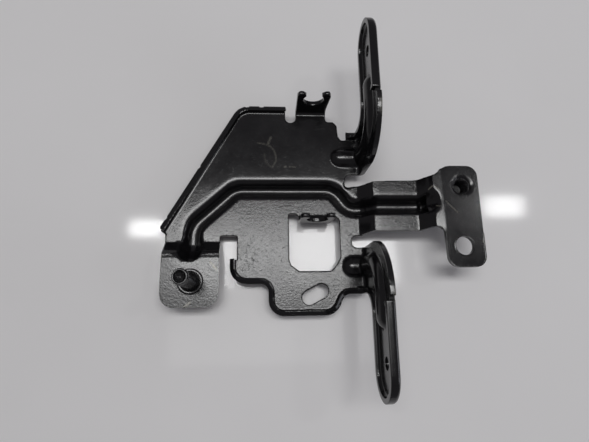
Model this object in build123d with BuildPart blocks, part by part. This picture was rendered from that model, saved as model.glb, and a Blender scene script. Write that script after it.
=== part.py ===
from build123d import *
import os

# Radar mounting bracket: one pressing of 2 mm steel sheet with a flat base plate,
# a rolled stiffening channel, stepped tabs, two upright arms and two cable forks,
# plus a threaded weld stud with its collar and a clinched nut in the end tab.
#
# Frame: +Z up, away from the surface the bracket rests on; +X towards the offset
# end tab; +Y towards the long sloping edge. The arms are mirror images about Y = 0.

# ---- driving dimensions (mm) ------------------------------------------------
T = 2.0              # sheet thickness
PZ = 5.0             # underside of the base plate above the resting surface
LIP = 4.25           # height of the turned-up edge, over the sheet
R_IN = 1.3           # inner bend radius of the edges
R_OUT = 3.0          # outer bend radius of the edges

CH_DEPTH = 5.0       # depth of the stiffening channel
CH_TOP = 9.4         # channel width at the plate
CH_BOT = 2.0         # channel width at its floor

STEP_A = 6.0         # rise of the stud tab and of the bridge
STEP_B = 12.0        # rise of the end tab

ARM_X = 21.2         # outer face of the arm webs
FOOT_X = ARM_X - 3.6 # where the flat plate ends and the bend into the arm begins
ARM_TOP = 37.0       # top of the arms over the plate's underside
ARM_LOW = 16.5       # lower edge of the arms
ARM_TIP_Y = 64.0     # centre of the rounded arm tip
ARM_NEAR_Y = 16.2    # arm edge next to the bridge
ARM_ROUND = 20.5     # radius of the arm's shoulder
ARM_FAR_Y = 35.8     # outer face of the edge lip where the arm leaves the plate
ARM_LIP = 3.6        # depth of the arm's lip
ARM_HOLE_Y, ARM_HOLE_H = 61.0, 27.0
ARM_HOLE_R = 2.25    # hole near the arm tip

FORK_Y = 47.6        # outer face of the fork on the upper edge
FORK_TOP = 18.7      # its height over the plate's underside
WIN_FORK_Y = -5.2    # outer face of the fork in the window
WIN_FORK_TOP = 12.4
FORK_WIDE = 14.0     # over both prongs
FORK_ENTRY = 6.6     # opening between the tips
FORK_MOUTH_R = 4.4   # round mouth below the entry
FORK_DEEP = 4.9      # centre of the mouth below the tips

BEAD_Y = 24.2        # centre line of the gusset beads across the arm bends
BEAD_HALF = 4.2      # half width at the sheet
BEAD_H = 2.6         # height over the sheet

HOLE_X, HOLE_Y, HOLE_R = 58.0, -17.7, 3.85   # round hole in the end tab
SLOT_X, SLOT_Y = -2.0, -35.7
SLOT_W, SLOT_L, SLOT_A = 6.6, 12.4, 27.0
STUD_X, STUD_Y = -52.4, -30.2                # weld stud on the left tab
STUD_R, STUD_LEN = 3.0, 22.0
COLLAR_R, COLLAR_H = 5.2, 1.4
NUT_X, NUT_Y, NUT_R = 59.3, 7.6, 3.5         # clinch nut's collar in the end tab
NUT_BORE_R, NUT_BODY_R, NUT_BODY_H = 2.5, 4.8, 6.6


def level(h):
    """Horizontal plane at height h over the underside of the base plate."""
    return Plane(origin=(0, 0, PZ + h), x_dir=(1, 0, 0), z_dir=(0, 0, 1))


def across(y):
    """Vertical plane facing -Y: local x is X, local y is the height over the plate."""
    return Plane(origin=(0, y, PZ), x_dir=(1, 0, 0), z_dir=(0, -1, 0))


def along(x):
    """Vertical plane facing +X: local x is Y, local y is the height over the plate."""
    return Plane(origin=(x, 0, PZ), x_dir=(0, 1, 0), z_dir=(1, 0, 0))


# ---- base plate outline -----------------------------------------------------
with BuildSketch(level(0)) as outline:
    with BuildLine():
        top = Polyline((-64.2, -14.5), (-64.2, -10.0), (-66.5, -8.4), (-33.9, 47.6),
                       (-13.4, 47.6), (-13.4, 40.9), (-8.8, 40.9), (-8.8, FORK_Y),
                       (4.7, FORK_Y), (4.7, 41.4), (8.2, 41.4), (9.9, 39.7),
                       (10.2, 34.4), (11.6, 32.6), (13.4, 32.6), (13.4, ARM_FAR_Y),
                       (FOOT_X, ARM_FAR_Y), (FOOT_X, ARM_NEAR_Y), (12.6, ARM_NEAR_Y), (12.6, 10.9),
                       (19.0, 10.9), (19.0, -11.2), (14.3, -11.2), (14.3, -ARM_NEAR_Y),
                       (FOOT_X, -ARM_NEAR_Y), (FOOT_X, -ARM_FAR_Y), (10.2, -ARM_FAR_Y),
                       (6.2, -44.3), (-21.4, -44.3), (-21.4, -31.2), (-37.3, -31.2),
                       (-37.3, -20.7), (-34.5, -20.7), (-34.5, -11.0), (-41.5, -11.0),
                       (-41.5, -14.5), close=True)
    make_face()


    def corner(x, y):
        return outline.vertices().sort_by_distance(Vector(x, y, PZ))[0]


    fillet(corner(-33.9, 47.6), 8)
    fillet([corner(-13.4, 40.9), corner(-8.8, 40.9)], 2.2)
    fillet(corner(4.7, 41.4), 1.5)
    fillet(corner(9.9, 39.7), 1.6)
    fillet([corner(12.6, ARM_NEAR_Y), corner(12.6, 10.9), corner(14.3, -11.2), corner(14.3, -ARM_NEAR_Y)], 2.2)
    fillet(corner(10.2, -ARM_FAR_Y), 3.5)
    fillet(corner(6.2, -44.3), 7)
    fillet(corner(-21.4, -44.3), 6.5)
    fillet(corner(-21.4, -31.2), 3.4)
    fillet(corner(-37.3, -31.2), 7)
    fillet([corner(-34.5, -11.0), corner(-41.5, -11.0)], 0.9)

# the turned-up edge stands on the outline where the sheet is flanged
with BuildSketch(level(0)) as lip_spans:
    with BuildLine():
        Polyline((-64.47, -8.88), (-68.8, -6.4), (-72, 60), (-13.4, 60), (-13.4, 45.6), (-16, 45.6), (-16, 30),
                 (-45, -5), (-61.95, -4.6), close=True)
    make_face()
    with BuildLine():
        Polyline((13.4, 33.0), (13.4, 40), (25, 40), (25, 33.0), close=True)
    make_face()
    with BuildLine():
        Polyline((-40, -20.7), (-35.3, -20.7), (-35.3, -24.0), (-30, -27), (-17, -27), (-17, -38), (0, -38),
                 (3, -33), (25, -33.0), (25, -50), (-40, -50), close=True)
    make_face()
with BuildSketch(level(0)) as lips:
    add(outline.sketch_local)
    offset(outline.sketch_local, amount=-T, mode=Mode.SUBTRACT)
    add(lip_spans.sketch_local, mode=Mode.INTERSECT)

# ---- stepped bridge with its end tab ---------------------------------------
with BuildPart() as bridge_blank:
    with BuildSketch(across(30)):
        with BuildLine():
            Polyline((10, T), (17.8, T), (23.2, T + STEP_A), (42.2, T + STEP_A), (47.4, T + STEP_B),
                     (70, T + STEP_B), (70, STEP_B), (48.3, STEP_B), (43.1, STEP_A), (24.1, STEP_A),
                     (18.7, 0), (10, 0), close=True)
        vs = make_face().vertices()
        tight = [v for v in vs if any(abs(v.X - x) < 0.05 for x in (17.8, 24.1, 42.2, 48.3))]
        wide = [v for v in vs if any(abs(v.X - x) < 0.05 for x in (23.2, 18.7, 47.4, 43.1))]
        fillet(tight, 1.6)
        fillet(wide, 3.4)
    extrude(amount=70)
    with BuildSketch(level(-2)) as bridge_plan:
        with BuildLine():
            Polyline((15.2, 10.9), (19.5, 11.0), (24.0, 11.6), (43.0, 12.0), (48.5, 12.9), (50.6, 16.4),
                     (66.5, 16.4), (66.5, -26.4), (51.0, -26.4), (50.5, -9.4), (46.5, -9.4), (42.2, -10.2),
                     (23.0, -9.9), (18.5, -10.9), (15.2, -11.2), close=True)
        make_face()
        pv = bridge_plan.vertices()
        near = lambda x, y: pv.sort_by_distance(Vector(x, y, PZ - 2))[0]
        fillet([near(66.5, 16.4), near(66.5, -26.4), near(51.0, -26.4)], 4.5)
        fillet(near(50.6, 16.4), 3.0)
    extrude(bridge_plan.sketch, amount=22, mode=Mode.INTERSECT)

# ---- stud tab, stepped up from the left end of the plate -------------------
with BuildPart() as tab_blank:
    with BuildSketch(along(-75)):
        with BuildLine():
            Polyline((-6, T), (-13.6, T), (-18.8, T + STEP_A), (-50, T + STEP_A), (-50, STEP_A), (-19.7, STEP_A),
                     (-14.5, 0), (-6, 0), close=True)
        vs = make_face().vertices()
        fillet([v for v in vs if abs(v.Y + 13.6) < 0.05 or abs(v.Y + 19.7) < 0.05], 1.6)
        fillet([v for v in vs if abs(v.Y + 18.8) < 0.05 or abs(v.Y + 14.5) < 0.05], 3.4)
    extrude(amount=40)
    with BuildSketch(level(-2)) as tab_plan:
        with BuildLine():
            Polyline((-64.2, -11.5), (-64.2, -40.5), (-41.2, -40.5), (-41.2, -19.0), (-41.5, -13.0), (-41.5, -11.5), close=True)
        make_face()
        tv = tab_plan.vertices()
        fillet([tv.sort_by_distance(Vector(x, y, PZ - 2))[0] for x, y in ((-64.2, -40.5), (-41.2, -40.5))], 6)
    extrude(tab_plan.sketch, amount=22, mode=Mode.INTERSECT)

# ---- one upright arm (the other is its mirror image) -----------------------
with BuildSketch(along(ARM_X)) as web_plan:
    with BuildLine():
        l1 = Line((ARM_NEAR_Y, 0), (ARM_NEAR_Y, ARM_TOP - ARM_ROUND))
        a1 = TangentArc(l1 @ 1, (ARM_NEAR_Y + ARM_ROUND, ARM_TOP), tangent=(0, 1))
        n1 = Polyline(a1 @ 1, (38.2, ARM_TOP), (38.2, ARM_TOP - 1.6), (39.6, ARM_TOP - 1.6), (39.6, ARM_TOP))
        l2 = Line(n1 @ 1, (ARM_TIP_Y, ARM_TOP))
        a2 = TangentArc(l2 @ 1, (ARM_TIP_Y, ARM_LOW), tangent=(1, 0))
        l3 = Line(a2 @ 1, (ARM_FAR_Y + 8.0, ARM_LOW))
        a3 = TangentArc(l3 @ 1, (ARM_FAR_Y, ARM_LOW - 8.0), tangent=(-1, 0))
        l4 = Line(a3 @ 1, (ARM_FAR_Y, 0))
        l5 = Line(l4 @ 1, l1 @ 0)
    make_face()
with BuildSketch(along(ARM_X)) as arm_lip_span:
    with BuildLine():
        Polyline((33.0, T), (33.0, 25), (39.6, 25), (39.6, 45), (85, 45), (85, T), close=True)
    make_face()
with BuildSketch(along(ARM_X)) as arm_lip_plan:
    add(web_plan.sketch_local)
    offset(web_plan.sketch_local, amount=-T, mode=Mode.SUBTRACT)
    add(arm_lip_span.sketch_local, mode=Mode.INTERSECT)

with BuildPart() as arm_blank:
    extrude(web_plan.sketch, amount=-T)
    extrude(arm_lip_plan.sketch, amount=-ARM_LIP)
    with BuildSketch(level(0)):
        with Locations((ARM_X - 1.8, (ARM_NEAR_Y + ARM_FAR_Y) / 2)):
            Rectangle(3.6, ARM_FAR_Y - ARM_NEAR_Y)
    extrude(amount=T)
    # bend radii between plate and arm, then the rounded edges of the lip
    fillet([e for e in arm_blank.edges() if abs(e.center().X - ARM_X) < 0.01 and abs(e.center().Z - PZ) < 0.01], 3.4)
    fillet([e for e in arm_blank.edges() if abs(e.center().X - ARM_X + T) < 0.01
            and abs(e.center().Z - PZ - T) < 0.01], 1.4)
    fillet([e for e in arm_blank.edges() if e.bounding_box().size.X < 0.01 and abs(e.center().X - ARM_X) < 0.01
            and e.center().Y > 35 and not (e.center().Y < 40 and e.center().Z > 40)], 1.6)
    fillet([e for e in arm_blank.edges() if e.bounding_box().size.X < 0.01 and abs(e.center().X - ARM_X + T) < 0.01
            and e.length > 3 and e.center().Y > 35
            and arm_lip_plan.sketch.distance_to(e.center() + Vector(T, 0, 0)) < 0.05], 1.2)

# ---- stiffening channel: one rolled groove from the stud tab to the second step ----
PATH_PLAN = [(-53.1, -13.6), (-53.1, -6.5), (-35.3, 9.6), (7.0, 9.6), (13.7, 1.0), (17.8, 1.0)]
PATH_RADII = [9.0, 7.0, 7.0, 7.0]


with BuildLine(level(T)) as plan_path:
    FilletPolyline(*PATH_PLAN, radius=PATH_RADII)
with BuildLine(across(1.0)) as bridge_path:
    FilletPolyline((17.8, T), (23.2, T + STEP_A), (42.2, T + STEP_A), (46.6, T + STEP_B - 0.9), radius=[8.0, 3.0])
with BuildLine(along(-53.1)) as tab_path:
    FilletPolyline((-13.6, T), (-18.8, T + STEP_A), (-23.4, T + STEP_A), radius=8.0)


def start_plane(path):
    """Plane square to a path at its start, local y upright."""
    t = path.tangent_at(0)
    return Plane(origin=path.position_at(0), x_dir=Vector(0, 0, 1).cross(t), z_dir=t)


def groove_section(path, outer):
    """Trapezoid section of the channel: its hollow, or the sheet's outside around it."""
    slope = (CH_TOP - CH_BOT) / 2 / CH_DEPTH
    floor = -CH_DEPTH - (T if outer else 0)
    half = CH_BOT / 2 + (T * 0.54 if outer else 0)
    rise = -1.0 if outer else 1.0
    wide = half + (rise - floor) * slope
    with BuildSketch(start_plane(path)) as sec:
        with BuildLine():
            Polyline((-wide, rise), (-half, floor), (half, floor), (wide, rise), close=True)
        vs = make_face().vertices()
        fillet([v for v in sec.vertices() if abs(v.Z - min(q.Z for q in sec.vertices())) < 0.01], 2.2 if outer else 0.9)
    return sec.sketch


# the hollow stops short of the second step's top, so the sheet closes its end
with BuildLine(across(1.0)) as bridge_hollow_path:
    FilletPolyline((17.8, T), (23.2, T + STEP_A), (42.2, T + STEP_A), (45.2, T + STEP_B - 2.54), radius=[8.0, 3.0])


def turn(x, y, facing, angle, outer):
    """Sector of the channel round the foot of a step, hinged at the sheet's surface."""
    slope = (CH_TOP - CH_BOT) / 2 / CH_DEPTH
    floor = -CH_DEPTH - (T if outer else 0)
    half = CH_BOT / 2 + (T * 0.54 if outer else 0)
    rise = -0.2 if outer else 0.4
    wide = half + (rise - floor) * slope
    hinge = Vector(0, 0, 1).cross(Vector(*facing))
    with BuildPart() as out:
        with BuildSketch(Plane(origin=(x, y, PZ + T), x_dir=tuple(hinge), z_dir=facing)):
            with BuildLine():
                Polyline((-wide, rise), (-half, floor), (half, floor), (wide, rise), close=True)
            make_face()
        revolve(axis=Axis((x, y, PZ + T + rise), tuple(hinge)), revolution_arc=-angle)
    return out.part


with BuildPart() as groove_outside:
    for path in (plan_path.wire(), bridge_path.wire(), tab_path.wire()):
        sweep(groove_section(path, True), path=path)
    add(turn(17.8, 1.0, (1, 0, 0), 48.0, True))
    add(turn(-53.1, -13.6, (0, -1, 0), 49.1, True))
with BuildPart() as groove_hollow:
    for path in (plan_path.wire(), bridge_hollow_path.wire(), tab_path.wire()):
        sweep(groove_section(path, False), path=path)
    add(turn(17.8, 1.0, (1, 0, 0), 48.0, False))
    add(turn(-53.1, -13.6, (0, -1, 0), 49.1, False))
    with BuildSketch(level(-10)):
        with Locations((-53.1, -30)):
            Rectangle(30, 26)
        with Locations((-53.1, -17.0)):
            Circle(5.0, mode=Mode.SUBTRACT)
    extrude(amount=30, mode=Mode.SUBTRACT)

# ---- cable forks: a round mouth with a narrower entry between knobbed tips ----
def fork_sketch(plane, left, top, foot):
    """Fork outline in a vertical plane; foot is where its right edge starts to lean."""
    with BuildSketch(plane) as fork:
        with BuildLine():
            Polyline((left, 0), (left, foot), (left - 0.1, top - 2.2), (left + 0.5, top), (left + 2.6, top),
                     (left + FORK_WIDE / 2 - FORK_ENTRY / 2, top - 1.7), (left + FORK_WIDE / 2 - FORK_ENTRY / 2, top - 3.0),
                     (left + FORK_WIDE / 2 + FORK_ENTRY / 2, top - 3.0), (left + FORK_WIDE / 2 + FORK_ENTRY / 2, top - 1.7),
                     (left + 11.4, top), (left + 13.5, top), (left + 14.1, top - 2.2), (left + 13.5, foot),
                     (left + 13.5, 0), close=True)
        make_face()
        with Locations((left + FORK_WIDE / 2, top - FORK_DEEP)):
            Circle(FORK_MOUTH_R, mode=Mode.SUBTRACT)
        fillet([v for v in fork.vertices() if v.Z > PZ + top - 2.5], 0.8)
    return fork.sketch


with BuildPart() as fork_blank:
    extrude(fork_sketch(across(FORK_Y), -8.8, FORK_TOP, 6.0), amount=T)
with BuildPart() as window_fork_blank:
    extrude(fork_sketch(across(WIN_FORK_Y + T), -7.9, WIN_FORK_TOP, 3.0), amount=T)

# ---- gusset beads: domed ribs across each arm bend, turned along the arm -------
BEAD_R = (BEAD_HALF ** 2 + BEAD_H ** 2) / 2 / BEAD_H      # radius of the domed section
BEAD_SINK = BEAD_R - BEAD_H                                # its centre below the sheet's face


def bead_section(plane, hollow):
    """Dome of a bead over the sheet's face, or the hollow under it at one sheet thickness."""
    low = -BEAD_R - 1 if hollow else -0.6
    with BuildSketch(plane) as sec:
        with Locations((0, -BEAD_SINK)):
            Circle(BEAD_R - T if hollow else BEAD_R)
        if not hollow:
            with Locations((0, low - 10)):
                Rectangle(40, 20, mode=Mode.SUBTRACT)
    return sec.sketch


def bead(side, start_x, hollow):
    """Rib, or the hollow on its back, on the arm at side +1 or -1."""
    face_x = ARM_X - T
    x0 = start_x + BEAD_HALF
    y0 = side * BEAD_Y
    r = BEAD_R - T if hollow else BEAD_R
    with BuildLine(along(face_x)) as run:
        FilletPolyline((y0, T), (y0, 27.0), (side * 45.3, 27.0), radius=12.8)
    with BuildPart() as out:
        section = bead_section(Plane(origin=(x0, y0, PZ + T), x_dir=(0, 1, 0), z_dir=(1, 0, 0)), hollow)
        extrude(section, amount=face_x - x0 + (BEAD_SINK if hollow else 0))
        with Locations((x0, y0, PZ + T - BEAD_SINK)):
            Sphere(r)
        web_section = bead_section(Plane(origin=(face_x, y0, PZ + T), x_dir=(0, 1, 0), z_dir=(0, 0, 1)), hollow)
        sweep(web_section, path=run.wire())
        with Locations((face_x + BEAD_SINK, side * 45.3, PZ + 27.0)):
            Sphere(r)
        if not hollow:
            # nothing of the rib stands below the sheet's own back
            with BuildSketch(level(-20 + T - 0.6)):
                Rectangle(200, 200)
            extrude(amount=20, mode=Mode.SUBTRACT)
            with BuildSketch(level(-20)):
                with Locations((face_x + 0.6 + 20, 0)):
                    Rectangle(40, 200)
            extrude(amount=80, mode=Mode.SUBTRACT)
    return out.part


beads, bead_hollows = [], []
for side, start in ((1, 6.4), (-1, 9.8)):
    beads.append(bead(side, start, False))
    bead_hollows.append(bead(side, start, True))

# ---- the base plate with its turned-up edges --------------------------------
with BuildPart() as base:
    extrude(outline.sketch, amount=T)
    extrude(lips.sketch, amount=LIP)
    lip_face = lips.sketch
    outer = [e for e in base.edges() if abs(e.center().Z - PZ) < 0.01 and e.bounding_box().size.Z < 0.01
             and lip_face.distance_to(e.center()) < 0.05]
    fillet([e for e in outer if e.center().X < -8 and e.center().Y > -8], R_OUT)
    fillet([e for e in outer if e.center().Y < -8], R_OUT - 0.4)
    fillet([e for e in outer if e.center().X > 10 and e.center().Y > 0], R_OUT)

# ---- the bracket: blanks joined, channel pressed in, openings cut ------------
with BuildPart() as bracket:
    add(base.part)
    add(bridge_blank.part)
    add(tab_blank.part)
    add(arm_blank.part)
    add(mirror(arm_blank.part, about=Plane.XZ))
    add(fork_blank.part)
    add(window_fork_blank.part)
    # bend radii of the forks
    fillet([e for e in bracket.edges() if abs(e.center().Y - (FORK_Y - T)) < 0.01 and abs(e.center().Z - PZ - T) < 0.01
            and -9 < e.center().X < 5 and e.length > 3], 1.5)
    fillet([e for e in bracket.edges() if abs(e.center().Y - FORK_Y) < 0.01 and abs(e.center().Z - PZ) < 0.01
            and -9 < e.center().X < 5 and e.length > 3], 3.3)
    add(groove_outside.part)
    for b in beads:
        add(b)
    add(groove_hollow.part, mode=Mode.SUBTRACT)
    for b in bead_hollows:
        add(b, mode=Mode.SUBTRACT)
    # window, with the fork's foot left standing on its upper edge
    with BuildSketch(level(-1)):
        with BuildLine():
            Polyline((-12.6, -1.5), (-12.6, -21.3), (-11.8, -23.4), (-8.4, -26.0), (5.0, -26.0), (7.3, -23.6),
                     (9.2, -20.0), (9.2, -4.2), (7.6, -2.8), (6.4, -2.8), (5.6, WIN_FORK_Y), (-7.9, WIN_FORK_Y),
                     (-8.4, -2.8), (-9.6, -1.5), close=True)
        make_face()
    extrude(amount=3.01, mode=Mode.SUBTRACT)
    # sloping slot
    with BuildSketch(level(-1)):
        with Locations(Location((SLOT_X, SLOT_Y), SLOT_A)):
            SlotOverall(SLOT_L, SLOT_W)
    extrude(amount=4, mode=Mode.SUBTRACT)
    # round hole and the insert's hole in the end tab
    with BuildSketch(level(STEP_B - 1)):
        with Locations((HOLE_X, HOLE_Y)):
            Circle(HOLE_R)
        with Locations((NUT_X, NUT_Y)):
            Circle(NUT_R)
    extrude(amount=4, mode=Mode.SUBTRACT)
    # holes near the arm tips
    with BuildSketch(along(ARM_X + 1)):
        with Locations((ARM_HOLE_Y, ARM_HOLE_H), (-ARM_HOLE_Y, ARM_HOLE_H)):
            Circle(ARM_HOLE_R)
    extrude(amount=-4, mode=Mode.SUBTRACT)
    fillet([e for e in bracket.edges() if abs(e.center().Y - WIN_FORK_Y - T) < 0.01
            and abs(e.center().Z - PZ - T) < 0.01 and e.length > 8], 1.3)

# ---- weld stud: plain shank with a chamfered tip on a low collar -------------
with BuildPart() as stud:
    with BuildSketch(Plane.XZ):
        with BuildLine():
            Polyline((0, 0), (COLLAR_R, 0), (COLLAR_R, COLLAR_H - 0.4), (COLLAR_R - 0.4, COLLAR_H), (STUD_R + 0.35, COLLAR_H),
                     (STUD_R, COLLAR_H + 0.5), (STUD_R, STUD_LEN - 0.9), (STUD_R - 0.8, STUD_LEN),
                     (STUD_R - 1.2, STUD_LEN), (STUD_R - 1.8, STUD_LEN - 0.7), (0, STUD_LEN - 0.7), close=True)
        make_face()
    revolve(axis=Axis.Z)
stud_part = Pos(STUD_X, STUD_Y, PZ + STEP_A + T) * stud.part

# ---- clinch nut: body under the end tab, collar pressed through its hole ------
with BuildPart() as nut:
    with BuildSketch(Plane.XZ):
        with BuildLine():
            Polyline((NUT_BORE_R, -0.3), (NUT_BORE_R + 0.5, 0.2), (NUT_R + 0.7, 0.3), (NUT_R + 0.7, 0), (NUT_R, 0),
                     (NUT_R, -T), (NUT_BODY_R, -T), (NUT_BODY_R, -T - NUT_BODY_H + 0.6),
                     (NUT_BODY_R - 0.6, -T - NUT_BODY_H), (0, -T - NUT_BODY_H), (0, -T - NUT_BODY_H + 1.4),
                     (NUT_BORE_R, -T - NUT_BODY_H + 1.9), close=True)
        make_face()
    revolve(axis=Axis.Z)
nut_part = Pos(NUT_X, NUT_Y, PZ + STEP_B + T) * nut.part

os.makedirs("parts", exist_ok=True)
bracket.part.label = "stamped_bracket"
export_step(bracket.part, "parts/stamped_bracket.step")
stud_part.label = "weld_stud"
export_step(stud_part, "parts/weld_stud.step")
nut_part.label = "clinch_nut"
export_step(nut_part, "parts/clinch_nut.step")
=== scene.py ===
import math

import bmesh
import bpy
import numpy as np
from mathutils import Matrix, Vector


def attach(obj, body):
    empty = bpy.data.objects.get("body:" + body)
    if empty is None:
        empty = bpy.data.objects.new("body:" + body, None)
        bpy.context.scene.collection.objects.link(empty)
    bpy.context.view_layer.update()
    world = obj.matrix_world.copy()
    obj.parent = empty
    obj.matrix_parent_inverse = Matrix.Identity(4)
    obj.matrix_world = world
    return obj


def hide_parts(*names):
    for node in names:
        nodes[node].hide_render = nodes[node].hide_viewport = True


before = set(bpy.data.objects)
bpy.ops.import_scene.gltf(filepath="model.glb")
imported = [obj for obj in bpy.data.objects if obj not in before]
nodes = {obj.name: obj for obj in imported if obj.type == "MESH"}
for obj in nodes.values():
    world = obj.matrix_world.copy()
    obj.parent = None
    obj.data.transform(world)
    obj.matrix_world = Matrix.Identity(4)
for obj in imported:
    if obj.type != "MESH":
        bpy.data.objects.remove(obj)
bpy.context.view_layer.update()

scene = bpy.context.scene
MM = 0.001
SHOULDER_ROUNDS = 30
CHANNEL_ROUNDS = 8
PULL_UPPER, PULL_LOWER = 0.95, 0.55


# ---- node helpers -----------------------------------------------------------
def new_material(name):
    mat = bpy.data.materials.new(name)
    mat.use_nodes = True
    nt = mat.node_tree
    nt.nodes.clear()
    out = nt.nodes.new("ShaderNodeOutputMaterial")
    bsdf = nt.nodes.new("ShaderNodeBsdfPrincipled")
    nt.links.new(bsdf.outputs[0], out.inputs[0])
    return mat, nt, bsdf


def coords(nt):
    return nt.nodes.new("ShaderNodeTexCoord").outputs["Object"]


def noise(nt, vec, scale, detail=3.0, rough=0.55, distortion=0.0):
    n = nt.nodes.new("ShaderNodeTexNoise")
    n.inputs["Scale"].default_value = scale
    n.inputs["Detail"].default_value = detail
    n.inputs["Roughness"].default_value = rough
    n.inputs["Distortion"].default_value = distortion
    nt.links.new(vec, n.inputs["Vector"])
    return n.outputs["Fac"]


def ramp(nt, fac, stops):
    r = nt.nodes.new("ShaderNodeValToRGB")
    els = r.color_ramp.elements
    while len(els) < len(stops):
        els.new(0.5)
    for e, (p, c) in zip(els, stops):
        e.position = p
        e.color = (c, c, c, 1.0) if isinstance(c, (int, float)) else (*c, 1.0)
    nt.links.new(fac, r.inputs["Fac"])
    return r.outputs["Color"]


def mix(nt, fac, a, b, blend="MIX"):
    m = nt.nodes.new("ShaderNodeMix")
    m.data_type = "RGBA"
    m.blend_type = blend
    for sock, val in ((m.inputs[0], fac), (m.inputs[6], a), (m.inputs[7], b)):
        if isinstance(val, bpy.types.NodeSocket):
            nt.links.new(val, sock)
        elif isinstance(val, (int, float)):
            sock.default_value = val if sock.type == "VALUE" else (val, val, val, 1.0)
        else:
            sock.default_value = (*val, 1.0)
    return m.outputs[2]


def bump(nt, height, strength, distance, normal=None):
    b = nt.nodes.new("ShaderNodeBump")
    b.inputs["Strength"].default_value = strength
    b.inputs["Distance"].default_value = distance
    nt.links.new(height, b.inputs["Height"])
    if normal is not None:
        nt.links.new(normal, b.inputs["Normal"])
    return b.outputs["Normal"]


def voronoi(nt, vec, scale, feature="DISTANCE_TO_EDGE", randomness=1.0):
    n = nt.nodes.new("ShaderNodeTexVoronoi")
    n.feature = feature
    n.inputs["Scale"].default_value = scale
    n.inputs["Randomness"].default_value = randomness
    nt.links.new(vec, n.inputs["Vector"])
    return n.outputs["Distance"]


def wear_and_glint_mask(nt):
    """Painted-on masks of the mesh: red scuffs and painted glint highlights, green worn folds, blue crackled patch,
    alpha soot.
    """
    at = nt.nodes.new("ShaderNodeAttribute")
    at.attribute_name = "wear_and_glint"
    sep = nt.nodes.new("ShaderNodeSeparateColor")
    nt.links.new(at.outputs["Color"], sep.inputs[0])
    return sep.outputs[0], sep.outputs[1], sep.outputs[2], at.outputs["Alpha"]


def ecoat(name, base=(0.0052, 0.0048, 0.0056), rough=(0.14, 0.21), speck=1.0, worn=False, relief=1.0):
    """Black dip coat on pressed steel: orange peel, fine grain, faint clouds, and worn marks and painted glint
    highlights where the masks say.
    """
    mat, nt, bsdf = new_material(name)
    vec = coords(nt)
    cloud = noise(nt, vec, 60.0, 4.0, 0.6)
    peel = noise(nt, vec, 620.0, 2.0, 0.5)
    grain = noise(nt, vec, 1500.0, 2.0, 0.55, 0.4)
    fine = noise(nt, vec, 3400.0, 2.0, 0.6)
    col = mix(nt, ramp(nt, cloud, ((0.35, 0.0), (0.7, 1.0))), base, tuple(c * 1.5 for c in base))
    specks = ramp(nt, grain, ((0.60, 0.0), (0.72, 1.0)))
    if worn:
        zone = nt.nodes.new("ShaderNodeAttribute")
        zone.attribute_name = "grain"
        specks = mix(nt, zone.outputs["Fac"], 0.0, specks)
    col = mix(nt, ramp(nt, fine, ((0.60, 0.0), (0.75, 0.14 * speck))), col, (0.045, 0.044, 0.042))
    rgh = mix(nt, ramp(nt, cloud, ((0.3, 0.0), (0.75, 1.0))), rough[0], rough[1])
    rgh = mix(nt, specks, rgh, rough[1] + 0.13 * speck)
    height = mix(nt, 0.2, grain, fine)
    if worn:
        height = mix(nt, zone.outputs["Fac"], 0.5, height)
    swell = noise(nt, vec, 230.0, 3.0, 0.55)
    n0 = bump(nt, swell, 0.032 * relief, 0.00030)
    n1 = bump(nt, peel, 0.11 * relief, 0.00010, n0)
    n2 = bump(nt, height, 1.0 * relief if worn else 0.6 * relief, 0.00008 if worn else 0.00005, n1)
    normal = n2
    if worn:
        scuff_and_glint, fold, crackle, soot = wear_and_glint_mask(nt)
        # red channel: light scuff colour, and on the arm tops a painted highlight standing for the glints of the
        # sheared edges
        patch = mix(nt, ramp(nt, noise(nt, vec, 2200.0, 3.0, 0.7), ((0.38, 0.15), (0.62, 1.0))), 0.0, scuff_and_glint)
        col = mix(nt, patch, col, (0.55, 0.53, 0.44))
        rgh = mix(nt, patch, rgh, 0.30)
        wobble = nt.nodes.new("ShaderNodeTexNoise")
        wobble.inputs["Scale"].default_value = 900.0
        nt.links.new(vec, wobble.inputs["Vector"])
        bent = nt.nodes.new("ShaderNodeVectorMath")
        bent.operation = "MULTIPLY_ADD"
        bent.inputs[1].default_value = (0.0011, 0.0011, 0.0011)
        nt.links.new(wobble.outputs["Color"], bent.inputs[0])
        nt.links.new(vec, bent.inputs[2])
        net = ramp(nt, voronoi(nt, bent.outputs[0], 780.0), ((0.0, 1.0), (0.07, 0.0)))
        lines = mix(nt, ramp(nt, noise(nt, vec, 420.0, 4.0, 0.7), ((0.50, 0.0), (0.60, 0.55))), 0.0, net)
        cracks = mix(nt, crackle, 0.0, lines)
        col = mix(nt, cracks, col, (0.010, 0.010, 0.010))
        rgh = mix(nt, cracks, rgh, 0.55)
        rgh = mix(nt, fold, rgh, 0.14)
        rgh = mix(nt, soot, rgh, 0.85)
        col = mix(nt, mix(nt, fold, 0.0, 0.2), col, (0.035, 0.034, 0.033))
        normal = bump(nt, mix(nt, cracks, 1.0, 0.0), 0.5, 0.00012, n2)
    nt.links.new(col, bsdf.inputs["Base Color"])
    nt.links.new(rgh, bsdf.inputs["Roughness"])
    nt.links.new(normal, bsdf.inputs["Normal"])
    bsdf.inputs["Specular IOR Level"].default_value = 0.62
    return mat


coat = ecoat("black_dip_coat", worn=True)
coat_stud = ecoat("black_dip_coat_stud", base=(0.007, 0.0065, 0.0075), rough=(0.15, 0.24), speck=0.8, relief=0.8)
coat_nut = ecoat("black_dip_coat_rough", base=(0.005, 0.0048, 0.0052), rough=(0.20, 0.42), speck=1.2, relief=1.6)


def set_material(obj, mat):
    obj.data.materials.clear()
    obj.data.materials.append(mat)


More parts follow.
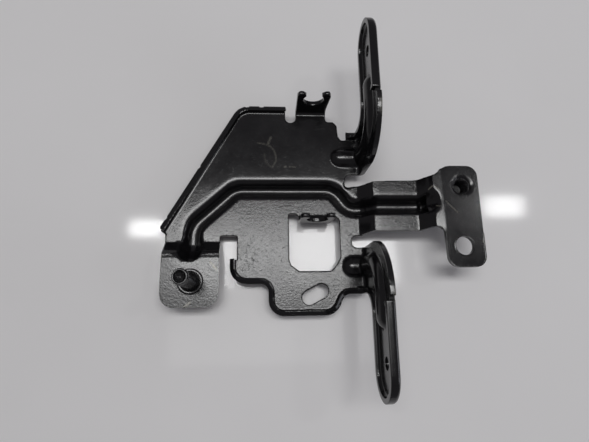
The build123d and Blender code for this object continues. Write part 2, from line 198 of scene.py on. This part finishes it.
# ---- the pressed sheet: CAD shape remeshed fine, folds and ribs relaxed as pressing leaves them ----
def mesh_arrays(me):
    co = np.empty(len(me.vertices) * 3)
    me.vertices.foreach_get("co", co)
    ed = np.empty(len(me.edges) * 2, dtype=np.int64)
    me.edges.foreach_get("vertices", ed)
    return co.reshape(-1, 3), ed.reshape(-1, 2)


def near_line(co, pts, dims=(0, 1)):
    """Distance in mm from each vertex to a polyline, measured in the given axes."""
    p = co[:, dims] * 1000.0
    best = np.full(len(p), 1e9)
    for a, b in zip(pts[:-1], pts[1:]):
        a, b = np.array(a, float), np.array(b, float)
        d = b - a
        t = np.clip(((p - a) @ d) / max(d @ d, 1e-9), 0, 1)
        best = np.minimum(best, np.linalg.norm(p - a - t[:, None] * d, axis=1))
    return best


def side_of_line(co, pts):
    """+1 to the left of a polyline walked from start to end, -1 to its right."""
    p = co[:, :2] * 1000.0
    best = np.full(len(p), 1e9)
    side = np.zeros(len(p))
    for a, b in zip(pts[:-1], pts[1:]):
        a, b = np.array(a, float), np.array(b, float)
        d = b - a
        t = np.clip(((p - a) @ d) / max(d @ d, 1e-9), 0, 1)
        dist = np.linalg.norm(p - a - t[:, None] * d, axis=1)
        near = dist < best
        cross = d[0] * (p[:, 1] - a[1]) - d[1] * (p[:, 0] - a[0])
        side = np.where(near, np.sign(cross), side)
        best = np.where(near, dist, best)
    return side


def nearest_offset(co, pts):
    """Plan vector from the nearest point of a polyline to each vertex, and its length, in mm."""
    p = co[:, :2] * 1000.0
    best = np.full(len(p), 1e9)
    off = np.zeros((len(p), 2))
    for a, b in zip(pts[:-1], pts[1:]):
        a, b = np.array(a, float), np.array(b, float)
        d = b - a
        t = np.clip(((p - a) @ d) / max(d @ d, 1e-9), 0, 1)
        q = p - a - t[:, None] * d
        dist = np.linalg.norm(q, axis=1)
        near = dist < best
        off[near] = q[near]
        best = np.where(near, dist, best)
    return off, best


def fade(dist, full, none):
    t = np.clip((none - dist) / (none - full), 0, 1)
    return t * t * (3 - 2 * t)


def relax(co, ed, weight, rounds, step=0.6, inflate=0.5):
    """Laplacian smoothing; each vertex moves by its own weight. A little inflation keeps the volume."""
    n = len(co)
    deg = np.bincount(ed.ravel(), minlength=n).astype(float)[:, None]
    w = weight[:, None]
    for _ in range(rounds):
        for k in (step, -step * inflate) if inflate else (step,):
            total = np.zeros_like(co)
            for c in range(3):
                total[:, c] = (np.bincount(ed[:, 0], weights=co[ed[:, 1], c], minlength=n)
                               + np.bincount(ed[:, 1], weights=co[ed[:, 0], c], minlength=n))
            co += k * w * (total / deg - co)
    return co


def remeshed(src, name, voxel):
    ob = bpy.data.objects.new(name, src.data.copy())
    scene.collection.objects.link(ob)
    mod = ob.modifiers.new("remesh", "REMESH")
    mod.mode = "VOXEL"
    mod.voxel_size = voxel
    mod.adaptivity = 0.0
    bpy.context.view_layer.update()
    me = bpy.data.meshes.new_from_object(ob.evaluated_get(bpy.context.evaluated_depsgraph_get()))
    old = ob.data
    ob.modifiers.clear()
    ob.data = me
    bpy.data.meshes.remove(old)
    return ob


CHANNEL = [(-53.1, -22.0), (-53.1, -9.5), (-51.5, -5.0), (-37.4, 7.6), (-32.5, 9.6), (5.0, 9.6), (9.0, 7.5), (13.0, 1.9),
           (17.0, 1.0), (47.5, 1.0)]
BEAD_RUNS = [[(14, s * 24.2, 7), (19.5, s * 24.2, 7), (19.5, s * 24.2, 19), (19.5, s * 28.0, 28.5), (19.5, s * 37.0, 32),
              (19.5, s * 46.0, 32)] for s in (1, -1)]
FLANGE_LINES = [
    [(-64.8, -9.4), (-33.2, 44.6), (-31.0, 45.6), (-14.0, 45.6)],
    [(-35.3, -21.0), (-35.3, -25.0), (-34.0, -27.8), (-31.0, -29.2), (-24.5, -29.2), (-21.4, -30.2), (-19.6, -33.0),
     (-19.4, -38.0), (-17.6, -41.4), (-14.5, -42.3), (1.5, -42.3), (5.0, -40.6), (8.3, -34.4), (10.5, -33.8), (19.2, -33.8)],
    [(15.4, 33.8), (19.2, 33.8)],
]

# marks on the sheet, mm: scuffs, and two painted highlights for the glints on the arm tops, as polylines with half
# width and strength
SCUFFS_AND_GLINTS = [
    ([(-20.0, 33.6, 7), (-21.2, 30.6, 7)], 0.55, 0.20),
    ([(-25.8, 30.9, 7), (-22.6, 30.4, 7), (-20.2, 29.3, 7), (-18.6, 27.4, 7), (-17.9, 25.0, 7), (-17.7, 22.8, 7), (-18.6, 21.0, 7),
      (-19.4, 19.6, 7)], 0.40, 0.15),
    ([(-22.9, 25.6, 7), (-22.5, 22.6, 7), (-21.0, 20.6, 7), (-19.4, 19.6, 7)], 0.45, 0.07),
    ([(-14.0, 19.9, 7), (-13.6, 19.9, 7)], 0.5, 0.25),
    ([(-12.0, 19.9, 7), (-9.4, 19.7, 7)], 0.35, 0.17),
    ([(-44.5, -22.7, 13), (-42.2, -25.6, 13)], 0.50, 0.95),
    ([(-54.4, -40.1, 13), (-52.2, -38.4, 13)], 0.45, 0.6),
    ([(52.0, 1.0, 19), (54.0, -1.2, 19), (56.8, -4.0, 19)], 0.30, 0.19),
    ([(66.0, -15.2, 19), (66.0, -16.4, 19)], 0.35, 0.25),
    # these two are painted highlights: light patches on the arm tops for the glints of their sheared edges
    ([(21.2, 34.2, 41.4), (21.2, 30.2, 40.2)], 1.1, 0.25),
    ([(21.2, -36.5, 41.6), (21.2, -40.0, 41.8)], 0.9, 0.18),
]
# scratches across the pocket of the second step, plan view
STEP_SCUFFS = [
    ([(46.0, 6.7), (47.2, 7.9), (48.3, 7.3), (49.6, 5.8)], 0.36, 0.4),
    ([(48.3, -0.6), (49.4, -1.0)], 0.28, 0.35),
]
# small dents: centre, radius, push (mm)
DENTS = [
    ((-54.3, -40.5, 12.4), 0.9, (0.1, 0.75, 0.0)),
    ((-30.5, 47.6, 9.0), 1.1, (0.1, -0.75, -0.9)),
    ((-24.1, 47.6, 9.0), 1.2, (0.0, -0.85, -1.0)),
    ((-50.9, 19.2, 9.0), 1.1, (0.6, -0.35, -0.8)),
    ((-64.0, -3.4, 9.0), 1.1, (0.6, -0.35, -0.8)),
    ((-11.5, -44.4, 9.0), 1.0, (0.0, 0.6, -0.7)),
    ((21.2, 46.0, 41.9), 0.8, (-0.3, 0.0, -0.35)),
]
# boxes round the fork tips: x, y and z ranges, mm
FORK_TIPS = [(-9.5, 5.5, 45.0, 48.2, 21.9, 23.7), (-9.0, 8.0, -6.0, -2.4, 15.6, 17.4)]
# matt black soot in corners: centre, radius, strength
GRIME = [((20.2, 38.9, 40.9), 1.7, 1.0), ((20.2, -38.9, 40.9), 1.6, 0.8), ((55.6, 8.2, 19.0), 1.6, 0.7), ((60.0, 3.4, 19.0), 1.3, 0.6)]
NUT_AT = (59.3, 7.6)

def bend_top(t, radius, angle):
    """Height of a convex bend below its corner: t runs from the slope (negative) to the flat (positive), mm."""
    reach = radius * math.tan(angle / 2)
    slope = t * math.tan(angle)
    arc = -radius + np.sqrt(np.maximum(radius ** 2 - (t - reach) ** 2, 0))
    return np.where(t > reach, 0.0, np.where(t < -reach * math.cos(angle), slope, arc))


def rounder(t, old, new, angle):
    """How far the sheet drops when a bend's outer radius grows from old to new."""
    return bend_top(t, new, angle) - bend_top(t, old, angle)


sheet = remeshed(nodes["stamped_bracket"], "pressed_sheet", 0.00026)
co, ed = mesh_arrays(sheet.data)
folds = fade(near_line(co, CHANNEL), 5.0, 8.0) * fade(co[:, 0] * 1000, 46.5, 49.5)
beaded = np.zeros(len(co))
for runs in BEAD_RUNS:
    beaded = np.maximum(beaded, fade(near_line(co, runs, (0, 1, 2)), 4.2, 6.5))
inner = np.zeros(len(co))
for line in FLANGE_LINES:
    d = np.hypot(near_line(co, line), co[:, 2] * 1000 - 7.0)
    inner = np.maximum(inner, fade(d, 0.5, 1.5))
deep = fade(co[:, 2] * 1000, 4.2, 5.6) * fade(co[:, 0] * 1000, 16.0, 20.0) * fade(-co[:, 1] * 1000, 12.0, 15.0)
co = relax(co, ed, folds * (1 - 0.85 * deep), 14)
mm = co * 1000.0
surface = np.interp(mm[:, 0], [-60, 17.8, 23.2, 42.2, 47.4, 70], [7, 7, 13, 13, 19, 19])
surface = np.where(mm[:, 0] < -38, np.interp(mm[:, 1], [-40, -18.8, -13.6, 0], [13, 13, 7, 7]), surface)
# draw both shoulders in towards the channel's middle before rounding them
off, dist = nearest_offset(co, CHANNEL)
side = side_of_line(co, CHANNEL)
pull = np.where(side > 0, PULL_UPPER, PULL_LOWER) * fade(np.abs(dist - 4.2), 0.6, 3.2) * fade(mm[:, 0], 44.0, 48.0)
pull *= fade(-mm[:, 1], 11.0, 14.0)
co[:, :2] -= off / np.maximum(dist, 1e-6)[:, None] * (pull * MM)[:, None]
upper = (side > 0) * fade(np.abs(near_line(co, CHANNEL) - 4.3), 1.0, 2.8)
upper *= fade(surface - mm[:, 2], 1.6, 2.4) * fade(mm[:, 0], 46.0, 49.0)
co = relax(co, ed, upper, SHOULDER_ROUNDS, inflate=0.0)
co = relax(co, ed, folds * deep, CHANNEL_ROUNDS)
co = relax(co, ed, np.maximum(beaded - folds, 0), 26)
co = relax(co, ed, inner, 14)
rims = np.zeros(len(co))
for line in FLANGE_LINES:
    rims = np.maximum(rims, fade(near_line(co, line), 2.3, 2.8) * fade(9.3 - co[:, 2] * 1000, 0.6, 1.2) * (co[:, 2] < 0.0098))
co = relax(co, ed, 1 - 0.9 * rims, 2)

low, high = co.min(axis=0), co.max(axis=0)
mm = co * 1000.0
# the fork tips are domed by the coat and the press
tips = np.zeros(len(co))
for x0, x1, y0, y1, z0, z1 in FORK_TIPS:
    inside = (mm[:, 0] > x0) * (mm[:, 0] < x1) * (mm[:, 1] > y0) * (mm[:, 1] < y1) * (mm[:, 2] < z1 + 0.5)
    tips = np.maximum(tips, inside * fade(z1 - mm[:, 2], 0.6, z1 - z0))
co = relax(co, ed, tips, 22, inflate=0.0)
mm = co * 1000.0
# the sheared rim of the turned-up edges falls away outwards
for line in FLANGE_LINES:
    d = near_line(co, line)
    rim = fade(9.25 - mm[:, 2], 0.15, 1.6) * (mm[:, 2] < 9.8) * fade(d, 2.3, 2.8)
    co[:, 2] -= 0.52 * MM * np.clip(d - 0.1, 0, 2.0) * rim
# the sloping edge's flange leans out a little at the rim
off, d = nearest_offset(co, FLANGE_LINES[0])
out = off / np.maximum(np.linalg.norm(off, axis=1), 0.05)[:, None]
lean_out = fade(9.25 - mm[:, 2], 0.3, 2.0) * (mm[:, 2] < 9.8) * fade(d, 2.4, 2.9) * fade(-d, -1.0, 0.0)
co[:, :2] += 0.42 * MM * out * lean_out[:, None]
for centre, radius, push in DENTS:
    w = fade(np.linalg.norm(mm - np.array(centre), axis=1), 0.0, radius)
    co += w[:, None] * np.array(push) * MM
# sheared edges of the tabs stay sharp on the upper face
mm = co * 1000.0
for test, top in ((mm[:, 0] > 50.5, 19.0), ((mm[:, 0] > 44.0) * (mm[:, 1] < -12.5), 19.0), ((mm[:, 0] < -38.0) * (mm[:, 1] < -22.5), 13.0)):
    drop = top - mm[:, 2]
    flat_top = test * (drop > 0) * (drop < 0.85)
    co[:, 2] += MM * np.where(flat_top, drop * fade(drop, 0.5, 0.85), 0.0)
mm = co * 1000.0
# the slot's edge, widened by the relaxing, goes back to the punch's size
SLOT_LINE = [(-4.6, -37.0), (0.6, -34.4)]
off, d = nearest_offset(co, SLOT_LINE)
co[:, :2] -= 0.40 * MM * off / np.maximum(np.linalg.norm(off, axis=1), 0.05)[:, None] * fade(np.abs(d - 3.4), 0.6, 2.4)[:, None]
# the notch between the bridge and the end tab is rounded out
mm = co * 1000.0
CORNER_R = 2.8
west, south = 50.5 - mm[:, 0], mm[:, 1] + 9.4
along = np.where((west > 0) & (south > -0.8), west, np.where(west < 0.8, -south, 0.0)).clip(0, CORNER_R)
depth = np.where(west > 0, np.maximum(south, 0), np.where(south < 0, -west, np.hypot(west, south)))
a = CORNER_R - along
shift = ((a + CORNER_R) - np.sqrt(np.maximum((a + CORNER_R) ** 2 - 2 * a ** 2, 0))) / 2
shift *= fade(depth, 0.3, 3.2) * (np.abs(west) < 4) * (np.abs(south) < 4) * (mm[:, 2] > 15.5)
co[:, 0] -= MM * shift
co[:, 1] -= MM * shift
# the tops of the three steps are rolled over wider than the solid's bends
mm = co * 1000.0
across_bridge = fade(mm[:, 1], 14.5, 16.5) * fade(-mm[:, 1], 9.8, 13.0)
co[:, 2] += MM * across_bridge * rounder(mm[:, 0] - 47.0, 3.4, 10.0, math.atan(6 / 5.2)) * (mm[:, 2] > 8.5)
co[:, 2] += MM * across_bridge * rounder(mm[:, 0] - 23.2, 3.4, 6.0, math.atan(6 / 5.4)) * fade(11.5 - mm[:, 0], -6, -4) * (mm[:, 0] < 30)
co[:, 2] += MM * rounder(-18.8 - mm[:, 1], 3.4, 5.0, math.atan(6 / 5.2)) * (mm[:, 0] < -38) * (mm[:, 1] < -12)
mm = co * 1000.0
# the channel runs out in a rounded pocket in the second step
pocket = np.hypot((mm[:, 0] - 46.2) / 3.6, (mm[:, 1] - 1.5) / 5.2)
co[:, 2] -= 2.7 * MM * fade(pocket, 0.2, 1.0) * fade(43.5 - mm[:, 0], -1.5, 0.5)
co = relax(co, ed, fade(pocket, 0.9, 1.35) * fade(43.5 - mm[:, 0], -1.0, 1.0), 24, inflate=0.0)
mm = co * 1000.0
# the end tab's near corner is cut back in a long curve
arc = np.interp(mm[:, 0], [46.5, 48.2, 49.6, 51.2, 53.0, 55.0], [12.75, 13.0, 13.9, 15.2, 16.1, 16.4])
lean = (mm[:, 0] > 46.5) * (mm[:, 0] < 55.0) * fade(16.4 - mm[:, 1], 1.5, 5.0) * (mm[:, 2] > 12)
old_edge = np.interp(mm[:, 0], [46.5, 48.3, 49.2, 50.0, 51.2, 55.0], [12.6, 12.9, 14.2, 15.6, 16.4, 16.4])
co[:, 1] += np.minimum(arc - old_edge, 0) * MM * lean
# shallow dish round the clinched insert
r = np.hypot(mm[:, 0] - NUT_AT[0], mm[:, 1] - NUT_AT[1])
around = np.arctan2(mm[:, 1] - NUT_AT[1], mm[:, 0] - NUT_AT[0])
reach = 5.25 + 0.18 * np.sin(3 * around + 0.6) + 0.10 * np.sin(7 * around)
top_face = fade(19.0 - mm[:, 2], 0.2, 1.2)
facing = np.clip(0.15 + 0.95 * np.cos(around - 0.55), 0.1, 1)
co[:, 2] -= MM * top_face * (0.30 * facing * fade(r, 4.1, reach) + 0.62 * fade(r, 3.62, 4.2))
# the sheet is never quite flat: a slow wave of a few hundredths of a millimetre
wave = (np.sin(mm[:, 0] * 0.16 + 0.5) * np.sin(mm[:, 1] * 0.13 + 1.1) + 0.5 * np.sin(mm[:, 0] * 0.31 + mm[:, 1] * 0.27))
co[:, 2] += 0.018 * MM * wave * fade(mm[:, 2], 30.0, 38.0)
co = np.clip(co, low, high)
sheet.data.vertices.foreach_set("co", co.ravel())
sheet.data.update()
for p in sheet.data.polygons:
    p.use_smooth = True
sheet.data.set_sharp_from_angle(angle=math.radians(34))

mm = co * 1000.0
# red channel: scuffs, plus the painted glint highlights on the arm tops
scuff_and_glint = np.zeros(len(co))
for pts, half, strength in SCUFFS_AND_GLINTS:
    scuff_and_glint = np.maximum(scuff_and_glint, strength * fade(near_line(co, pts, (0, 1, 2)), half * 0.35, half * 1.5))
for pts, half, strength in STEP_SCUFFS:
    scuff_and_glint = np.maximum(scuff_and_glint, strength * fade(near_line(co, pts), half * 0.3, half) * (mm[:, 2] > 15.4))
crackle = np.maximum(fade(np.hypot((mm[:, 0] + 30.5) / 6.5, (mm[:, 1] + 20.5) / 8.5), 0.35, 1.25), 0.16)
crackle = np.maximum(crackle, 0.7 * fade(np.hypot((mm[:, 0] - 13.5) / 3.0, (mm[:, 1] + 14.0) / 8.0), 0.3, 1.2))
nor = np.empty(len(co) * 3)
sheet.data.vertices.foreach_get("normal", nor)
nor = nor.reshape(-1, 3)
bend = np.bincount(ed.ravel(), weights=np.repeat(1.0 - np.einsum("ij,ij->i", nor[ed[:, 0]], nor[ed[:, 1]]), 2), minlength=len(co))
folded = np.clip((bend - 0.05) / 0.5, 0, 1)
grime = np.zeros(len(co))
for centre, radius, strength in GRIME:
    grime = np.maximum(grime, strength * fade(np.linalg.norm(mm - np.array(centre), axis=1), radius * 0.5, radius))
smooth_zone = fade(-mm[:, 1], -14.0, -6.0) * (mm[:, 2] < 9.5)
flat_zone = fade(1.0 - nor[:, 2], 0.01, 0.06) * fade(mm[:, 2], 14.0, 17.0)
grain_zone = 0.12 + 0.88 * flat_zone * (1.0 - smooth_zone) * (1.0 - 0.4 * fade(mm[:, 0], -40.0, -34.0))
att = sheet.data.attributes.new(name="grain", type="FLOAT", domain="POINT")
att.data.foreach_set("value", grain_zone.astype(np.float32))
# colour attribute: scuffs and painted glint highlights in red, worn folds in green, crackle in blue, soot in alpha
wear_and_glint = np.stack([scuff_and_glint, folded, crackle, grime], axis=1)
att = sheet.data.color_attributes.new(name="wear_and_glint", type="FLOAT_COLOR", domain="POINT")
att.data.foreach_set("color", wear_and_glint.ravel())
set_material(sheet, coat)
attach(sheet, "root")
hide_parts("stamped_bracket")


# ---- turned pieces: rows of (radius, height) round an axis, with a thread or a rough face ----
def turned(name, centre, rows, seg, shape=None):
    """Closed turned mesh; rows run from the axis over the outside and back. shape(r, z, angle, i) bends a row."""
    verts, faces = [], []
    start, end = rows[0], rows[-1]
    for i, (r, z) in enumerate(rows[1:-1]):
        for k in range(seg):
            a = 2 * math.pi * k / seg
            rr, zz = shape(r, z, a, i) if shape else (r, z)
            verts.append(((centre[0] + rr * math.cos(a)) * MM, (centre[1] + rr * math.sin(a)) * MM, (centre[2] + zz) * MM))
    n = len(rows) - 2
    for i in range(n - 1):
        for k in range(seg):
            j = (k + 1) % seg
            faces.append((i * seg + k, i * seg + j, (i + 1) * seg + j, (i + 1) * seg + k))
    first = len(verts)
    verts.append((centre[0] * MM, centre[1] * MM, (centre[2] + start[1]) * MM))
    last = len(verts)
    verts.append((centre[0] * MM, centre[1] * MM, (centre[2] + end[1]) * MM))
    for k in range(seg):
        j = (k + 1) % seg
        faces.append((first, j, k))
        faces.append((last, (n - 1) * seg + k, (n - 1) * seg + j))
    me = bpy.data.meshes.new(name)
    me.from_pydata(verts, [], faces)
    me.update()
    for p in me.polygons:
        p.use_smooth = True
    ob = bpy.data.objects.new(name, me)
    scene.collection.objects.link(ob)
    return ob


def ripple(a, z, seed):
    """Small repeatable unevenness for turned faces."""
    return (math.sin(3 * a + seed) * 0.45 + math.sin(7 * a - 1.7 * z + 2.1 * seed) * 0.3
            + math.sin(13 * a + 3.1 * z + seed) * 0.25)


def thread_cut(z, a, pitch):
    """0 at the crest, 1 at the root of a thread, with rounded crests and roots."""
    ph = (z / pitch - a / (2 * math.pi)) % 1.0
    t = abs(2 * ph - 1)
    return t * t * (3 - 2 * t)


seg = 72
STUD_AT, STUD_TOP, COLLAR = (-52.4, -30.2, 13.0), 22.0, 1.4
rows = [(0, -0.02), (5.1, -0.02), (5.2, 0.0), (5.2, 0.06), (5.1, 0.22), (4.98, 0.46), (4.88, 0.66), (4.8, 0.76), (4.7, 0.8),
        (4.5, 0.8), (4.2, 0.8), (3.98, 0.78), (3.88, 0.7), (3.84, 0.5), (3.8, 0.3), (3.74, 0.28), (3.66, 0.5),
        (3.5, 1.0), (3.34, 1.4), (3.2, 1.65), (3.08, 1.8)]
z = 2.0
while z < STUD_TOP - 3.4:
    rows.append((3.0, z))
    z += 0.1
TIP_ROWS = [(3.0, STUD_TOP - 3.3), (2.98, STUD_TOP - 3.15), (2.9, STUD_TOP - 3.02), (2.82, STUD_TOP - 2.9), (2.8, STUD_TOP - 2.75),
            (2.82, STUD_TOP - 2.4), (2.95, STUD_TOP - 2.1), (2.99, STUD_TOP - 1.8), (3.0, STUD_TOP - 1.3), (3.0, STUD_TOP - 0.95),
            (2.96, STUD_TOP - 0.75), (2.86, STUD_TOP - 0.5), (2.76, STUD_TOP - 0.26), (2.7, STUD_TOP - 0.12), (2.64, STUD_TOP - 0.03),
            (2.56, STUD_TOP), (2.4, STUD_TOP), (2.26, STUD_TOP), (2.18, STUD_TOP - 0.05), (2.1, STUD_TOP - 0.2),
            (1.98, STUD_TOP - 0.5), (1.8, STUD_TOP - 0.85), (1.55, STUD_TOP - 1.15), (1.3, STUD_TOP - 1.4), (1.0, STUD_TOP - 1.6),
            (0.7, STUD_TOP - 1.75), (0.4, STUD_TOP - 1.85), (0, STUD_TOP - 1.9)]
rows += TIP_ROWS


def stud_shape(r, z, a, i):
    if 1.9 < z < STUD_TOP - 3.05 and r > 2.8:
        fade_in = min(1.0, max(0.0, (z - 2.2) / 1.2)) * min(1.0, max(0.0, (STUD_TOP - 3.05 - z) / 0.5))
        return r - 0.45 * fade_in * thread_cut(z, a, 1.0), z
    if z > STUD_TOP - 2.6 and r < 2.15:
        return r + 0.08 * ripple(a, r * 2, 1.3), z + 0.22 * ripple(a, r * 3, 1.3) * min(1.0, r / 1.2)
    if z > STUD_TOP - 3.4:
        return r + 0.025 * ripple(a, z, 0.4), z - 0.02 - 0.02 * ripple(a, 0, 2.0)
    return r + (0.04 * ripple(a, z, 2.7) if r < 3.7 and z > 0.3 else 0.0), z


stud = turned("threaded_stud", STUD_AT, rows, seg, stud_shape)
set_material(stud, coat_stud)
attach(stud, "root")
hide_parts("weld_stud")

# nut: round body under the tab, collar through the sheet, upset rim, thread in the bore
rows = [(0, -8.6), (3.9, -8.6), (4.15, -8.56), (4.55, -8.2), (4.76, -7.9), (4.8, -7.6), (4.8, -6.1), (4.66, -5.95), (4.66, -5.6),
        (4.8, -5.45), (4.8, -2.3), (4.72, -2.05), (4.5, -2.0), (3.5, -2.0), (3.5, -1.0), (3.56, -1.1), (3.62, -0.86), (3.6, -0.78), (3.5, -0.8),
        (3.35, -0.9), (3.2, -1.05), (3.05, -1.2), (2.9, -1.35), (2.75, -1.55), (2.62, -1.75), (2.54, -1.95)]
z = -2.1
while z > -6.5:
    rows.append((2.5, z))
    z -= 0.09
rows += [(2.46, -6.6), (2.2, -6.68), (1.2, -6.7), (0, -6.7)]


def nut_shape(r, z, a, i):
    if r < 2.55 and -6.4 < z < -2.0:
        return r + 0.02 + 0.30 * min(1.0, (-2.0 - z) / 0.5) * (1 - thread_cut(z, a, 0.8)), z
    if z > -2.0 and 2.5 < r < 3.65:
        rough = ripple(2 * a, r * 3, 1.9) + 0.7 * math.sin(5 * a + 3 * r) + 0.5 * math.sin(19 * a + 5 * r)
        return r + 0.08 * ripple(3 * a, z * 2, 0.9), z + 0.24 * rough * min(1.0, (3.65 - r) / 0.3)
    return r, z


nut = turned("clinched_insert", (NUT_AT[0], NUT_AT[1], 19.0), rows, seg, nut_shape)
set_material(nut, coat_nut)
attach(nut, "root")
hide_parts("clinch_nut")

# ---- floor --------------------------------------------------------------------
bpy.ops.mesh.primitive_plane_add(size=3.0, location=(0, 0, 0))
floor = bpy.context.object
floor.name = "floor"
fmat, fnt, fb = new_material("pale_table")
fvec = coords(fnt)
fcol = mix(fnt, ramp(fnt, noise(fnt, fvec, 6.0, 4.0, 0.6), ((0.3, 0.0), (0.7, 1.0))), (0.90, 0.89, 0.89), (0.94, 0.93, 0.93))
fnt.links.new(fcol, fb.inputs["Base Color"])
fb.inputs["Roughness"].default_value = 0.08
fb.inputs["Specular IOR Level"].default_value = 0.4
set_material(floor, fmat)

# ---- camera ---------------------------------------------------------------------
F, PX, PY = 430.0, 264.0 - 294.5, 317.0 - 221.0
ROLL = -0.0035
down = Vector((PX, PY, F)).normalized()
zw = -down
v = Vector((math.sin(ROLL), -math.cos(ROLL), 0.0))
yw = (v - zw * v.dot(zw)).normalized()
xw = yw.cross(zw)
right = Vector((xw[0], yw[0], zw[0]))
up = -Vector((xw[1], yw[1], zw[1]))
back = -Vector((xw[2], yw[2], zw[2]))
cam_data = bpy.data.cameras.new("view")
cam = bpy.data.objects.new("view", cam_data)
scene.collection.objects.link(cam)
cam_data.sensor_fit = "HORIZONTAL"
cam_data.sensor_width = 36.0
cam_data.lens = F / 589.0 * 36.0
cam_data.clip_start = 0.01
cam_data.clip_end = 10.0
m = Matrix((right, up, back)).transposed().to_4x4()
m.translation = Vector((-23.3, -44.4, 186.1)) * MM
cam.matrix_world = m
scene.camera = cam


# ---- soft studio light ------------------------------------------------------------
def area(name, loc, target, size, size_y, energy, color=(1, 1, 1)):
    data = bpy.data.lights.new(name, "AREA")
    data.shape = "RECTANGLE"
    data.size, data.size_y = size, size_y
    data.energy = energy
    data.color = color
    ob = bpy.data.objects.new(name, data)
    scene.collection.objects.link(ob)
    ob.location = loc
    d = Vector(target) - Vector(loc)
    ob.rotation_euler = d.to_track_quat("-Z", "Y").to_euler()
    return ob


def lamp_power(radiance, w, h):
    return radiance * math.pi * w * h


area("softbox", (0.026, 0.124, 1.0), (0.026, 0.124, 0.0), 0.65, 0.17, lamp_power(9.8, 0.65, 0.17))
area("fill", (0.0, -0.065, 1.0), (0.0, -0.065, 0.0), 0.55, 0.20, lamp_power(1.0, 0.55, 0.20))
area("tube_left", (-0.345, 0.200, 1.0), (-0.345, 0.200, 0.0), 0.09, 0.045, lamp_power(24.0, 0.09, 0.045))
area("tube_right", (0.685, 0.262, 1.0), (0.685, 0.262, 0.0), 0.12, 0.06, lamp_power(18.0, 0.12, 0.06))
area("side", (1.3, -0.3, 0.45), (0.0, 0.0, 0.0), 0.7, 0.5, lamp_power(2.0, 0.7, 0.5), (0.9, 0.92, 1.0))
world = bpy.data.worlds.new("studio")
scene.world = world
world.use_nodes = True
bg = world.node_tree.nodes["Background"]
bg.inputs[0].default_value = (0.97, 0.94, 1.0, 1.0)
bg.inputs[1].default_value = 0.13
scene.view_settings.view_transform = "Standard"
